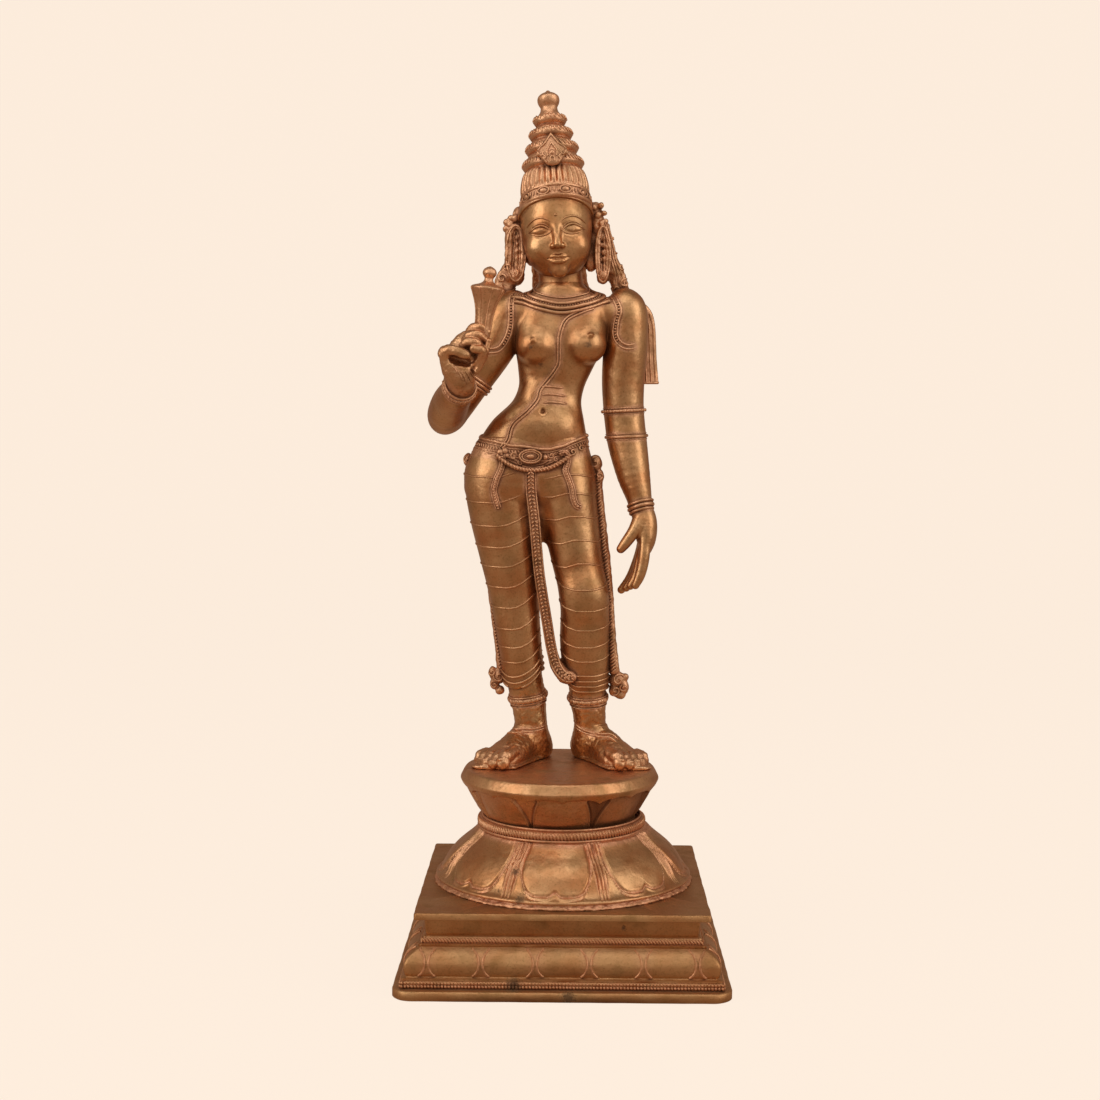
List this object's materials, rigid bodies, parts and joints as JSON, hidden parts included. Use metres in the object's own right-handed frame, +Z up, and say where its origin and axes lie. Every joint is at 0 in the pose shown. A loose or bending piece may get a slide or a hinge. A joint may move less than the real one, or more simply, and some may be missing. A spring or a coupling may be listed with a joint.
{
  "type": "parvati figure",
  "caption": "Standing goddess with a raised flower bud, a tall ringed crown and long sashes, on a lotus pedestal above a square moulded plinth.",
  "frame": {"origin": "middle of the plinth's underside, on the surface that the statue stands on", "axes": "+Z up through the plinth and pedestal, -Y towards the figure's front, +X to the side of her hanging arm"},
  "size_m": [0.1826, 0.1826, 0.4946],
  "materials": {
    "plinth_bronze": "cast bronze, rubbed, dark in its hollows",
    "pedestal_bronze": "cast and chased bronze, polished, copper-red in its grooves",
    "figure_bronze": "cast and chased bronze, polished golden brown"
  },
  "bodies": {
    "root": {"square_plinth": "plinth_bronze", "lotus_pedestal": "pedestal_bronze", "goddess": "figure_bronze"}
  },
  "joints": []
}
